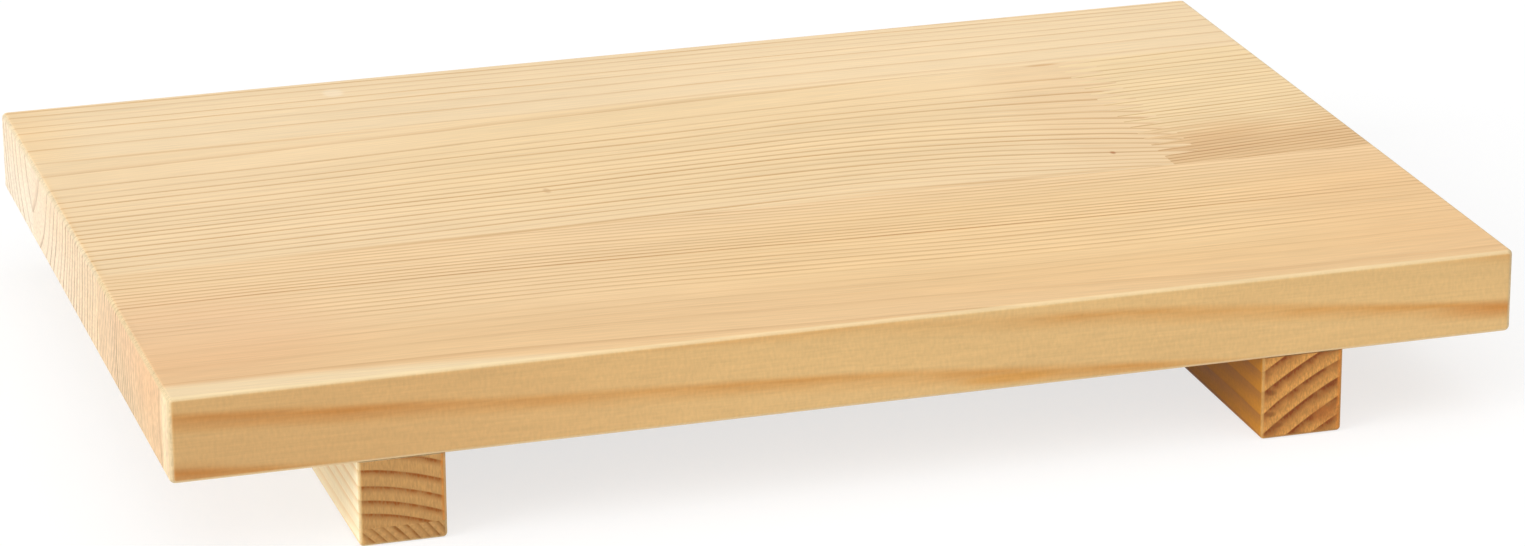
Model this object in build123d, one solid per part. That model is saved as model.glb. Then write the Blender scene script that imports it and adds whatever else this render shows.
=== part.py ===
from build123d import *
import os
from math import ceil

# Sushi geta board: a low softwood serving board that stands on two batten feet.
# The panel is three staves glued edge to edge, and the middle stave is two lengths joined by fingers.
# The left foot was ripped across a glue line, so it is two strips. Screws from below hold both feet.
# X runs along the board, Y towards its back, Z up. The origin is on the table under the board's centre.
# All sizes are in millimetres.

# Panel
BOARD_LENGTH = 300.0
BOARD_DEPTH = 200.0
BOARD_THICKNESS = 19.0
BACK_STAVE_WIDTH = 40.0
FRONT_STAVE_WIDTH = 78.0
BOARD_CORNER_RADIUS = 1.4  # upright corners
BOARD_ARRIS_RADIUS = 1.2  # sanded top and bottom edges

# Finger joint across the middle stave
JOINT_TO_BOARD_END = 45.0  # middle of the fingers to the board's right end
FINGER_LENGTH = 9.0
FINGER_PITCH = 4.5
FINGER_TIP_WIDTH = 0.8
JOINT_SHOULDER = 6.5  # plain butt between the front glue line and the first finger

# Feet
FOOT_WIDTH = 19.0
FOOT_HEIGHT = 19.0
FOOT_TO_BOARD_END = 39.5  # foot's outer side to the board's end
FOOT_SETBACK = 0.5  # foot's ends behind the board's long edges
FOOT_ARRIS_RADIUS = 1.0
LOWER_STRIP_HEIGHT = 4.0  # strip under the glue line of the left foot

# Countersunk wood screws, driven up through the feet
SCREW_DIAMETER = 3.5
SCREW_HEAD_DIAMETER = 7.0
SCREW_HEAD_RIM = 0.4  # straight rim under the flat of the head
SCREW_POINT_LENGTH = 5.0
SCREW_SUNK = 1.0  # flat of the head above the sole
SCREW_COVER = 7.0  # wood left between the point and the serving face
SCREW_TO_FOOT_END = 25.0
SCREW_CLEARANCE = 0.1
RECESS_SPAN = 4.0  # cross recess, from the end of one arm to the end of the opposite one
RECESS_ARM_WIDTH = 1.1
RECESS_DEPTH = 1.7
RECESS_TAPER = 12.0  # degrees

# Places worked out from the sizes above
BOARD_TOP = FOOT_HEIGHT + BOARD_THICKNESS
BACK_GLUE_LINE = BOARD_DEPTH / 2 - BACK_STAVE_WIDTH
FRONT_GLUE_LINE = FRONT_STAVE_WIDTH - BOARD_DEPTH / 2
FOOT_LENGTH = BOARD_DEPTH - 2 * FOOT_SETBACK
FOOT_X = BOARD_LENGTH / 2 - FOOT_TO_BOARD_END - FOOT_WIDTH / 2
SCREW_Y = FOOT_LENGTH / 2 - SCREW_TO_FOOT_END
SCREW_PLACES = [(x, y) for x in (-FOOT_X, FOOT_X) for y in (-SCREW_Y, SCREW_Y)]


def upright_block(length, depth, bottom, top):
    """A block centred on the Z axis between two heights."""
    return Pos(0, 0, bottom) * Box(length, depth, top - bottom, align=(Align.CENTER, Align.CENTER, Align.MIN))


def band(low_y, high_y):
    """A block that holds everything of the panel between two places across its depth."""
    return Pos(0, (low_y + high_y) / 2, 0) * upright_block(2 * BOARD_LENGTH, high_y - low_y, 0, 2 * BOARD_TOP)


def screw_form(grow, head_z):
    """A turned countersunk screw, point up, with every radius grown and its head's flat at head_z."""
    head = SCREW_HEAD_DIAMETER / 2 + grow
    shank = SCREW_DIAMETER / 2 + grow
    cone_start = SCREW_SUNK + SCREW_HEAD_RIM
    cone_end = cone_start + (SCREW_HEAD_DIAMETER - SCREW_DIAMETER) / 2
    point = BOARD_TOP - SCREW_COVER + grow
    outline = Polyline(
        (0, head_z),
        (head, head_z),
        (head, cone_start),
        (shank, cone_end),
        (shank, point - SCREW_POINT_LENGTH),
        (0, point),
        close=True,
    )
    return revolve(Plane.XZ * make_face(outline), Axis.Z)


def foot_screw():
    """One screw on the Z axis, with the cross recess that the driver turns."""
    arm = Rectangle(RECESS_SPAN, RECESS_ARM_WIDTH)
    recess_foot = Pos(0, 0, SCREW_SUNK)
    lengthways = extrude(recess_foot * arm, amount=RECESS_DEPTH, taper=RECESS_TAPER)
    crossways = extrude(recess_foot * Rot(0, 0, 90) * arm, amount=RECESS_DEPTH, taper=RECESS_TAPER)
    return screw_form(0, SCREW_SUNK) - lengthways - crossways


def screw_hole():
    """The countersunk hole for one screw on the Z axis, open below the sole."""
    return screw_form(SCREW_CLEARANCE, -SCREW_SUNK)


def drilled(piece):
    """The piece with every screw hole that reaches it."""
    return piece - [Pos(x, y, 0) * screw_hole() for x, y in SCREW_PLACES]


def panel():
    """The whole glued panel, sanded round its edges and drilled for the screws."""
    block = upright_block(BOARD_LENGTH, BOARD_DEPTH, FOOT_HEIGHT, BOARD_TOP)
    block = fillet(block.edges().filter_by(Axis.Z), BOARD_CORNER_RADIUS)
    faces = block.faces().filter_by(Axis.Z)
    block = fillet(faces.edges(), BOARD_ARRIS_RADIUS)
    return drilled(block)


def right_of_joint():
    """Everything to the right of the finger joint's line, taller than the panel."""
    middle = BOARD_LENGTH / 2 - JOINT_TO_BOARD_END
    root = middle - FINGER_LENGTH / 2
    tip = middle + FINGER_LENGTH / 2
    flank = FINGER_PITCH / 2 - FINGER_TIP_WIDTH
    first = FRONT_GLUE_LINE + JOINT_SHOULDER
    count = ceil((BACK_GLUE_LINE - first) / FINGER_PITCH)
    line = [(root, FRONT_GLUE_LINE - FINGER_PITCH)]
    for finger in range(count):
        start = first + finger * FINGER_PITCH
        line += [
            (root, start),
            (tip, start + flank),
            (tip, start + flank + FINGER_TIP_WIDTH),
            (root, start + 2 * flank + FINGER_TIP_WIDTH),
        ]
    beyond_back = first + (count + 1) * FINGER_PITCH
    line += [(root, beyond_back), (BOARD_LENGTH, beyond_back), (BOARD_LENGTH, line[0][1])]
    return extrude(make_face(Polyline(*line, close=True)), amount=2 * BOARD_TOP)


def foot():
    """One foot on the Z axis, with its sole's edges and upright corners eased."""
    block = upright_block(FOOT_WIDTH, FOOT_LENGTH, 0, FOOT_HEIGHT)
    block = fillet(block.edges().filter_by(Axis.Z), FOOT_ARRIS_RADIUS)
    return fillet(block.faces().sort_by(Axis.Z)[0].edges(), FOOT_ARRIS_RADIUS)


def pieces():
    """Every separate piece of the board by its name."""
    board = panel()
    middle = board & band(FRONT_GLUE_LINE, BACK_GLUE_LINE)
    left_foot = drilled(Pos(-FOOT_X, 0, 0) * foot())
    lower_part = Pos(-FOOT_X, 0, 0) * upright_block(2 * FOOT_WIDTH, 2 * FOOT_LENGTH, 0, LOWER_STRIP_HEIGHT)
    return {
        "back_stave": board & band(BACK_GLUE_LINE, BOARD_DEPTH),
        "middle_stave_long": middle - right_of_joint(),
        "middle_stave_short": middle & right_of_joint(),
        "front_stave": board & band(-BOARD_DEPTH, FRONT_GLUE_LINE),
        "left_foot_upper_strip": left_foot - lower_part,
        "left_foot_lower_strip": left_foot & lower_part,
        "right_foot": drilled(Pos(FOOT_X, 0, 0) * foot()),
        "foot_screws": Compound([Pos(x, y, 0) * foot_screw() for x, y in SCREW_PLACES]),
    }


os.makedirs("parts", exist_ok=True)
for name, piece in pieces().items():
    export_step(piece, f"parts/{name}.step")
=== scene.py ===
"""A sushi geta board in sanded pine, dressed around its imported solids.

X runs along the board, Y towards its back and Z up, with the origin on the table under the middle.
Meshes are in metres. Sizes are written in millimetres and multiplied by MM where a mesh takes them.
"""

import logging
import math
from collections.abc import Callable, Iterable, Sequence
from dataclasses import dataclass, field, replace
from enum import Enum
from functools import partial
from typing import NamedTuple

import bmesh
import bpy
from bmesh.types import BMEdge, BMesh, BMFace, BMVert
from bpy.types import Material, Node, NodeSocket, NodeTree, Object
from mathutils import Matrix, Vector


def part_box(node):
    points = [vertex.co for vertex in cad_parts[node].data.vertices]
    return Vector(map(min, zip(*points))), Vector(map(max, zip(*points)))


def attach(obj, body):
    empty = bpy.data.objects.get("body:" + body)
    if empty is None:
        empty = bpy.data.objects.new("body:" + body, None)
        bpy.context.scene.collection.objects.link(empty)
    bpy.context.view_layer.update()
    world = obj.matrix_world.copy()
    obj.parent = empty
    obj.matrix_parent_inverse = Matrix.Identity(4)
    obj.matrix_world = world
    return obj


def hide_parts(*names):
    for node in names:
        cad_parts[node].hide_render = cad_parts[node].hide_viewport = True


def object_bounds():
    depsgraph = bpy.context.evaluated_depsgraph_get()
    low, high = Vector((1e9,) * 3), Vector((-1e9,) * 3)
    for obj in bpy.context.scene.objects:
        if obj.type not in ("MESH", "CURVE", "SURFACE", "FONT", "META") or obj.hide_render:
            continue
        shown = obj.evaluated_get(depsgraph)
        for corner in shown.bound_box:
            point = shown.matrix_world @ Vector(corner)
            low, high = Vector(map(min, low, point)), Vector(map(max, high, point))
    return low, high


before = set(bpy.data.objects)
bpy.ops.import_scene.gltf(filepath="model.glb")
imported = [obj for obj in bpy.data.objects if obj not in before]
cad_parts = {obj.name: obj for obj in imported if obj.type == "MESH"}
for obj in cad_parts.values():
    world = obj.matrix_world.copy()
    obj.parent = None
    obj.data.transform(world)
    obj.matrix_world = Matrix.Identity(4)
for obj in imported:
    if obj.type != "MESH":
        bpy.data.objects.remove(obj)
CAD_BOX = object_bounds()

MM = 0.001
BODY = "root"
NEAR = 1e-6  # two places closer than this are one, in metres
CREASE = math.radians(40)  # faces that turn by more than this have a sharp edge between them
LEVEL = 0.99  # least upright part of a level face's normal
MOST = (0.3, 0.7)  # nearly all of a noise lies between these
CRISP = (0.35, 0.65)  # stretched from these, a noise has crisper spots

Feed = Node | NodeSocket | float | Sequence[float]
Adder = Callable[..., Node]
Triple = tuple[float, float, float]  # along the fibres, across them and up, in millimetres
log = logging.getLogger("geta_board")


def linear(colour: str) -> tuple[float, float, float, float]:
    """Turns an sRGB hex colour into the linear colour that a shader takes.

    Args:
        colour: six hex digits, two each for red, green and blue.

    Returns:
        Linear red, green and blue, and an alpha of 1.
    """
    shares = [int(colour[at:at + 2], 16) / 255 for at in (0, 2, 4)]
    red, green, blue = (s / 12.92 if s <= 0.04045 else ((s + 0.055) / 1.055) ** 2.4 for s in shares)
    return red, green, blue, 1.0


def add_node(tree: NodeTree, kind: str, *feeds: Feed, **settings: object) -> Node:
    """Adds a node with its settings, values and links.

    Args:
        tree: the node tree that gets the node.
        kind: Blender's name for the type of node.
        feeds: what the first sockets get, in order: a node, whose first live output is linked,
            an output socket, or a value.
        settings: what other sockets get, by their identifiers, and the node's own options.

    Returns:
        The new node.
    """
    node = tree.nodes.new(kind)
    sockets = {socket.identifier: socket for socket in node.inputs}
    for option, value in settings.items():
        if option not in sockets:
            setattr(node, option, value)
    named = [(sockets[name], feed) for name, feed in settings.items() if name in sockets]
    for socket, feed in [*zip(node.inputs, feeds), *named]:
        if isinstance(feed, Node):
            feed = next(output for output in feed.outputs if output.enabled)
        if isinstance(feed, NodeSocket):
            tree.links.new(feed, socket)
        else:
            socket.default_value = feed
    return node


def blank_material(name: str) -> tuple[Material, NodeTree]:
    """Makes a node material with nothing in it.

    Args:
        name: the material's name.

    Returns:
        The material and its empty node tree.
    """
    material = bpy.data.materials.new(name)
    material.use_nodes = True
    material.node_tree.nodes.clear()
    return material, material.node_tree


def uneven(add: Adder, spot: Feed, size: Triple, seed: float, detail: float = 2.0) -> Node:
    """Gives an uneven value in lumps of a size.

    Args:
        add: adds a node to the material's tree.
        spot: along, across and up as a vector.
        size: the lumps' length along each.
        seed: moves the pattern, so that no two pieces are alike.
        detail: how many finer layers it has.

    Returns:
        A node that gives 0 to 1, mostly near one half.
    """
    lumps = add("ShaderNodeMapping", spot, (seed, seed, seed), (0, 0, 0), [1 / length for length in size])
    return add("ShaderNodeTexNoise", lumps, Scale=1.0, Detail=detail)


def block(low: Vector, high: Vector) -> BMesh:
    """Makes a square-edged block between two corners.

    Args:
        low: the lowest corner.
        high: the highest corner.

    Returns:
        A new bmesh.
    """
    mesh = bmesh.new()
    place = Matrix.Translation((low + high) / 2) @ Matrix.Diagonal((*(high - low), 1.0))
    bmesh.ops.create_cube(mesh, size=1.0, matrix=place)
    return mesh


def round_edges(mesh: BMesh, edges: Iterable[BMEdge], radius: float, steps: int) -> None:
    """Rounds edges to a radius in metres with a number of steps round the curve."""
    bmesh.ops.bevel(
        mesh,
        geom=list(edges),
        offset=radius,
        offset_type="OFFSET",
        affect="EDGES",
        segments=steps,
        profile=0.5,
        material=-1,
        clamp_overlap=True,
    )


def edges_at(mesh: BMesh, axis: str, place: float) -> set[BMEdge]:
    """Finds the edges that lie in a plane square to an axis.

    Args:
        mesh: the mesh to search.
        axis: x, y or z.
        place: where the plane stands along it, in metres.

    Returns:
        The edges with both ends in the plane.
    """
    return {e for e in mesh.edges if all(abs(getattr(v.co, axis) - place) < NEAR for v in e.verts)}


def upright(edges: Iterable[BMEdge]) -> list[BMEdge]:
    """Picks the edges that don't lie level."""
    return [e for e in edges if abs(e.verts[0].co.z - e.verts[1].co.z) > NEAR]


def wooden_piece(mesh: BMesh, node: str, finish: Material) -> Object:
    """Turns a finished mesh into a piece that stands for a CAD node.

    Args:
        mesh: the piece's mesh, which is used up.
        node: the CAD node that the piece replaces.
        finish: the material.

    Returns:
        The new object, riding on the board's one body.
    """
    bmesh.ops.recalc_face_normals(mesh, faces=mesh.faces)
    data = bpy.data.meshes.new(f"{node}_wood")
    mesh.to_mesh(data)
    mesh.free()
    data.shade_smooth()
    data.set_sharp_from_angle(angle=CREASE)
    data.materials.append(finish)
    piece = bpy.data.objects.new(data.name, data)
    bpy.context.scene.collection.objects.link(piece)
    # Flat faces keep flat shading up to the rounded edges.
    flat = piece.modifiers.new("flat_faces", "WEIGHTED_NORMAL")
    flat.keep_sharp = True
    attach(piece, BODY)
    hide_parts(node)
    log.info("%s: %d faces, for %s", piece.name, len(data.polygons), node)
    return piece


class Grain(Enum):
    """The axis that a piece's fibres run along."""

    BOARD_LENGTH = "X"
    FOOT_LENGTH = "Y"

    @property
    def across(self) -> str:
        """The level axis square to the fibres."""
        return "Y" if self is Grain.BOARD_LENGTH else "X"


class Faces(NamedTuple):
    """The kinds of face, each as a node that gives 1 where a point is on that kind.

    Attributes:
        side: the long upright sides.
        end: the sawn ends.
        arris: the rounded edges.
        cut_arris: those of them that cut through the fibres.
    """

    side: Node
    end: Node
    arris: Node
    cut_arris: Node


@dataclass(frozen=True)
class GrainFrame:
    """A piece's own axes, in millimetres: along the fibres, across them and up.

    On a stave, across is counted from the board's back edge to its front, and up from its top face.
    On a foot, across is counted to the right from the foot's middle, and up from the sole.

    Attributes:
        grain: the axis that the fibres run along.
        origin: the place in the board where all three are zero.
        facing: a normal's part along an axis, from not facing that way to facing it.
        rounded: a normal's largest part, from the middle of a rounded edge to a flat face.
        cut: a normal's part along the fibres, from an edge beside them to one through them.
    """

    grain: Grain
    origin: tuple[float, float, float]
    facing: tuple[float, float] = (0.6, 0.95)
    rounded: tuple[float, float] = (0.87, 0.995)
    cut: tuple[float, float] = (0.1, 0.4)

    def spot(self, add: Adder, place: NodeSocket) -> Node:
        """Turns Object coordinates in metres into this frame.

        Args:
            add: adds a node to the material's tree.
            place: the Object coordinates.

        Returns:
            A node that gives along, across and up as a vector.
        """
        x, y, z = self.origin
        if self.grain is Grain.BOARD_LENGTH:
            return add("ShaderNodeMapping", place, (-x, y, -z), (0, 0, 0), (1 / MM, -1 / MM, 1 / MM))
        return add("ShaderNodeMapping", place, (-y, -x, -z), (0, 0, -math.pi / 2), (-1 / MM, 1 / MM, 1 / MM))

    def faces(self, add: Adder, normal: NodeSocket) -> Faces:
        """Tells which kind of face a point is on.

        Args:
            add: adds a node to the material's tree.
            normal: the surface's normal in the board's axes.

        Returns:
            The kinds of face.
        """
        sizes = add("ShaderNodeVectorMath", normal, operation="ABSOLUTE")
        parts = add("ShaderNodeSeparateXYZ", sizes).outputs
        side, end = (
            add("ShaderNodeMapRange", parts[axis], *self.facing, 0.0, 1.0, interpolation_type="SMOOTHSTEP")
            for axis in (self.grain.across, self.grain.value)
        )
        level = add("ShaderNodeMath", parts["X"], parts["Y"], operation="MAXIMUM")
        most = add("ShaderNodeMath", level, parts["Z"], operation="MAXIMUM")
        arris = add("ShaderNodeMapRange", most, *self.rounded, 1.0, 0.0, interpolation_type="SMOOTHSTEP")
        sawn = add("ShaderNodeMapRange", parts[self.grain.value], *self.cut, 0.0, 1.0)
        return Faces(side, end, arris, add("ShaderNodeMath", arris, sawn, operation="MULTIPLY"))


@dataclass(frozen=True)
class Slope:
    """Fibres that run at a slope to the piece and fan out across it.

    Attributes:
        rate: millimetres across for each one along, at the centre.
        fan: how much the rate changes for each millimetre across.
        centre: where across the rate holds.
        start: where along a fibre is at its own place.
    """

    rate: float
    fan: float
    centre: float
    start: float

    def shift(self, add: Adder, along: Feed, across: Feed) -> Node:
        """Gives how far back a fibre's own place lies from here, across the piece.

        Args:
            add: adds a node to the material's tree.
            along: where this point is along the piece.
            across: where it is across the piece.

        Returns:
            A node that gives the distance.
        """
        at_zero = self.rate - self.fan * self.centre
        rate = add("ShaderNodeMath", across, self.fan, at_zero, operation="MULTIPLY_ADD")
        run = add("ShaderNodeMath", along, self.start, operation="SUBTRACT")
        return add("ShaderNodeMath", rate, run, operation="MULTIPLY")


@dataclass(frozen=True)
class KnotBend:
    """Fibres that swing aside towards a knot that was cut off beyond the piece's end.

    Attributes:
        start: where along the swing begins.
        centre: where across it is strongest.
        spread: how far to each side it reaches.
        rate: millimetres aside for each square millimetre of the run past the start.
    """

    start: float
    centre: float
    spread: float
    rate: float

    def shift(self, add: Adder, along: Feed, across: Feed) -> Node:
        """Gives how far back a fibre's own place lies from here, across the piece.

        Args:
            add: adds a node to the material's tree.
            along: where this point is along the piece.
            across: where it is across the piece.

        Returns:
            A node that gives the distance.
        """
        offset = add("ShaderNodeMath", across, self.centre, operation="SUBTRACT")
        share = add("ShaderNodeMath", offset, self.spread, operation="DIVIDE")
        square = add("ShaderNodeMath", share, share, operation="MULTIPLY")
        hump = add("ShaderNodeMath", 1 / math.e, square, operation="POWER")
        past = add("ShaderNodeMath", along, self.start, operation="SUBTRACT")
        run = add("ShaderNodeMath", past, 0.0, operation="MAXIMUM")
        swing = add("ShaderNodeMath", run, run, operation="MULTIPLY")
        aside = add("ShaderNodeMath", swing, hump, operation="MULTIPLY")
        return add("ShaderNodeMath", aside, -self.rate, operation="MULTIPLY")


@dataclass(frozen=True)
class Sway:
    """Fibres that step aside once along the piece, in an S that opens out across it.

    Attributes:
        between: the two places across that the other sizes are given for.
        step: the whole step aside at each of them.
        length: half the length of the S at each of them.
    """

    between: tuple[float, float]
    step: tuple[float, float]
    length: tuple[float, float]

    def shift(self, add: Adder, along: Feed, across: Feed) -> Node:
        """Gives how far back a fibre's own place lies from here, across the piece.

        Args:
            add: adds a node to the material's tree.
            along: where this point is along the piece.
            across: where it is across the piece.

        Returns:
            A node that gives the distance.
        """
        length = add("ShaderNodeMapRange", across, *self.between, *self.length)
        step = add("ShaderNodeMapRange", across, *self.between, *self.step)
        share = add("ShaderNodeMath", along, length, operation="DIVIDE")
        bend = add("ShaderNodeMath", share, operation="TANH")
        half = add("ShaderNodeMath", bend, -0.5, -0.5, operation="MULTIPLY_ADD")
        return add("ShaderNodeMath", half, step, operation="MULTIPLY")


@dataclass(frozen=True)
class GrowthRings:
    """Growth rings round a pith line, whose width changes with the tree's age.

    Attributes:
        pith: where the pith line passes, across and up.
        first: distance from the pith to the ring edge that the count starts at.
        young_width: ring width there.
        old_width: ring width far out.
        ageing: distance over which the one becomes the other.
        late_least: thickness of the late wood that every ring has.
        late_share: share of a ring's width that is late wood besides.
        fade: distance over which a line fades out past the ring's edge.
        rise: power by which a line darkens from its start.
        stray: how many rings' width an edge may lie from where this law puts it.
        spell: distance over which good and bad years follow each other.
        seed: where in its noise the stray starts.
    """

    pith: tuple[float, float]
    first: float
    young_width: float
    old_width: float
    ageing: float
    late_least: float = 0.9
    late_share: float = 0.0
    fade: float = 0.25
    rise: float = 1.5
    stray: float = 0.1
    spell: float = 9.0
    seed: float = 0.0

    def lines(self, add: Adder, fibre: Feed, up: Feed) -> tuple[Node, Node, Node]:
        """Draws the late wood as lines that grow slowly and end soon where the next spring's wood begins.

        Args:
            add: adds a node to the material's tree.
            fibre: where across the piece this point's fibre has its own place.
            up: the height in the grain frame.

        Returns:
            A node that gives 0 in early wood to 1 at a ring's edge, one that gives the ring's number,
            and one that gives the distance from the pith.
        """
        section = add("ShaderNodeCombineXYZ", fibre, up)
        reach = add("ShaderNodeVectorMath", section, (*self.pith, 0.0), operation="DISTANCE")
        past = add("ShaderNodeMath", reach, self.first + self.fade, operation="SUBTRACT")
        age = add("ShaderNodeMath", past, -self.ageing, operation="DIVIDE")
        youth = add("ShaderNodeMath", age, operation="EXPONENT")
        narrowest = self.old_width / self.young_width
        growth = add("ShaderNodeMath", youth, 1 - narrowest, narrowest, operation="MULTIPLY_ADD")
        lost = add("ShaderNodeMath", growth, math.e, operation="LOGARITHM")
        run = add("ShaderNodeMath", lost, self.ageing, past, operation="MULTIPLY_ADD")
        # The noise lies mostly from 1/4 to 3/4, so four times it, less two, is mostly from -1 to 1.
        count = add("ShaderNodeMath", run, 1 / self.old_width, -2 * self.stray, operation="MULTIPLY_ADD")
        years = add("ShaderNodeMath", reach, self.seed, operation="ADD")
        luck = add("ShaderNodeTexNoise", W=years, Scale=1 / self.spell, Detail=1.0, noise_dimensions="1D")
        count = add("ShaderNodeMath", luck, 4 * self.stray, count, operation="MULTIPLY_ADD")

        part = add("ShaderNodeMath", count, operation="FRACT")
        rest = add("ShaderNodeMath", 1.0, part, operation="SUBTRACT")
        width = add("ShaderNodeMath", growth, self.young_width, operation="MULTIPLY")
        to_end = add("ShaderNodeMath", rest, width, operation="MULTIPLY")
        least = self.late_least + self.fade
        start = add("ShaderNodeMath", width, self.late_share, least, operation="MULTIPLY_ADD")
        grown = add("ShaderNodeMapRange", to_end, self.fade, start, 1.0, 0.0)
        rising = add("ShaderNodeMath", grown, self.rise, operation="POWER")
        falling = add(
            "ShaderNodeMapRange",
            to_end, 0.0, self.fade, 0.0, 1.0,
            interpolation_type="SMOOTHSTEP",
        )
        line = add("ShaderNodeMath", rising, falling, operation="MULTIPLY")
        return line, add("ShaderNodeMath", count, operation="FLOOR"), reach


@dataclass(frozen=True)
class Years:
    """A run of growth rings that are drawn stronger or weaker than the rest.

    Attributes:
        centre: distance from the pith to the middle of the run.
        spread: how far to each side the run reaches.
        gain: what the rings' strength is multiplied by there.
    """

    centre: float
    spread: float
    gain: float

    def factor(self, add: Adder, reach: Feed) -> Node:
        """Gives what the strength is multiplied by at a distance from the pith.

        Args:
            add: adds a node to the material's tree.
            reach: the distance.

        Returns:
            A node that gives the factor.
        """
        offset = add("ShaderNodeMath", reach, self.centre, operation="SUBTRACT")
        distance = add("ShaderNodeMath", offset, operation="ABSOLUTE")
        return add(
            "ShaderNodeMapRange",
            distance, self.spread / 2, self.spread, self.gain, 1.0,
            interpolation_type="SMOOTHSTEP",
        )


class Lay(Enum):
    """How a stain lies on the wood: over it, or soaked in so that the lines show through."""

    COVER = "MIX"
    SOAK = "MULTIPLY"


@dataclass(frozen=True)
class Stain:
    """A soft-edged patch of another colour in the wood.

    Attributes:
        colour: its sRGB colour.
        centre: its middle, along, across and up.
        reach: how far it goes from there along each of them.
        strength: how much of its colour shows in the middle.
        core: share of the reach that has the full strength.
        ragged: share of the reach by which its edge runs in and out in streaks.
        lay: how it lies on the wood.
        streak: size of the streaks at a ragged edge.
    """

    colour: str
    centre: Triple
    reach: Triple
    strength: float
    core: float = 0.3
    ragged: float = 0.0
    lay: Lay = Lay.COVER
    streak: Triple = (22.0, 1.8, 1.8)

    def over(self, add: Adder, spot: Feed, wood: Feed) -> Node:
        """Lays the stain over a colour.

        Args:
            add: adds a node to the material's tree.
            spot: along, across and up as a vector.
            wood: the colour under the stain.

        Returns:
            A node that gives the stained colour.
        """
        scale = [1 / reach for reach in self.reach]
        offset = [-place * share for place, share in zip(self.centre, scale)]
        local = add("ShaderNodeMapping", spot, offset, (0, 0, 0), scale)
        distance = add("ShaderNodeVectorMath", local, operation="LENGTH")
        if self.ragged:
            streaks = uneven(add, spot, self.streak, self.centre[0])
            stray = add("ShaderNodeMapRange", streaks, *MOST, -self.ragged, self.ragged)
            distance = add("ShaderNodeMath", distance, stray, operation="ADD")
        amount = add(
            "ShaderNodeMapRange",
            distance, self.core, 1.0, self.strength, 0.0,
            interpolation_type="SMOOTHSTEP",
        )
        return add(
            "ShaderNodeMix",
            data_type="RGBA",
            blend_type=self.lay.value,
            Factor_Float=amount,
            A_Color=wood,
            B_Color=linear(self.colour),
        )


@dataclass(frozen=True)
class Soak(Stain):
    """A stain that has soaked in, at full strength unless another is given."""

    strength: float = 1.0
    lay: Lay = Lay.SOAK


@dataclass(frozen=True)
class Tones:
    """The two colours of pine as they look on one kind of face.

    Attributes:
        early: sRGB colour of the early wood.
        late: sRGB colour of the late wood.
    """

    early: str
    late: str

    def mixed(self, add: Adder, line: Feed) -> Node:
        """Gives the colour where a share of late wood shows."""
        return add(
            "ShaderNodeMix",
            data_type="RGBA", Factor_Float=line, A_Color=linear(self.early), B_Color=linear(self.late),
        )


@dataclass(frozen=True)
class Figure:
    """The lines that growth rings draw on a piece of wood.

    Attributes:
        rings: the growth rings.
        paths: how the fibres stray from straight lines.
        years: runs of stronger or weaker rings.
        strength: the faintest and the strongest ring line.
        wave: size of the waves that all fibres have.
        swing: how far to each side they wave.
        patch: size of the patches in which lines grow fainter or stronger.
        swell: share of the strength by which they do.
        seed: moves the uneven patterns.
    """

    rings: GrowthRings
    paths: tuple[Slope | KnotBend | Sway, ...] = ()
    years: tuple[Years, ...] = ()
    strength: tuple[float, float] = (0.6, 1.0)
    wave: Triple = (70.0, 16.0, 16.0)
    swing: float = 1.2
    patch: Triple = (35.0, 2.5, 2.5)
    swell: float = 0.3
    seed: float = 0.0

    def grown(self, add: Adder, spot: Feed) -> Node:
        """Follows a point's fibre back to where it has its own place.

        Args:
            add: adds a node to the material's tree.
            spot: along, across and up as a vector.

        Returns:
            A node that gives along, the fibre's own place across, and up, as a vector.
        """
        along, across, up = add("ShaderNodeSeparateXYZ", spot).outputs
        wave = uneven(add, spot, self.wave, self.seed, detail=1.0)
        place = add("ShaderNodeMath", wave, 2 * self.swing, across, operation="MULTIPLY_ADD")
        for path in self.paths:
            shift = path.shift(add, along, across)
            place = add("ShaderNodeMath", place, shift, operation="ADD")
        fibre = add("ShaderNodeMath", place, self.swing, operation="SUBTRACT")
        return add("ShaderNodeCombineXYZ", along, fibre, up)

    def late_wood(self, add: Adder, grown: Feed) -> Node:
        """Gives how much late wood shows, from 0 in early wood to 1 in the strongest line.

        Args:
            add: adds a node to the material's tree.
            grown: along, the fibre's own place across, and up, as a vector.

        Returns:
            A node that gives the share.
        """
        _, fibre, up = add("ShaderNodeSeparateXYZ", grown).outputs
        line, year, reach = self.rings.lines(add, fibre, up)
        draw = add("ShaderNodeTexWhiteNoise", W=year, noise_dimensions="1D")
        strength = add("ShaderNodeMapRange", draw, 0.0, 1.0, *self.strength)
        for run in self.years:
            strength = add("ShaderNodeMath", strength, run.factor(add, reach), operation="MULTIPLY")
        patchy = uneven(add, grown, self.patch, self.seed)
        swell = add("ShaderNodeMapRange", patchy, *MOST, 1 - self.swell, 1 + self.swell)
        strength = add("ShaderNodeMath", strength, swell, operation="MULTIPLY")
        return add("ShaderNodeMath", line, strength, operation="MULTIPLY", use_clamp=True)


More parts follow.
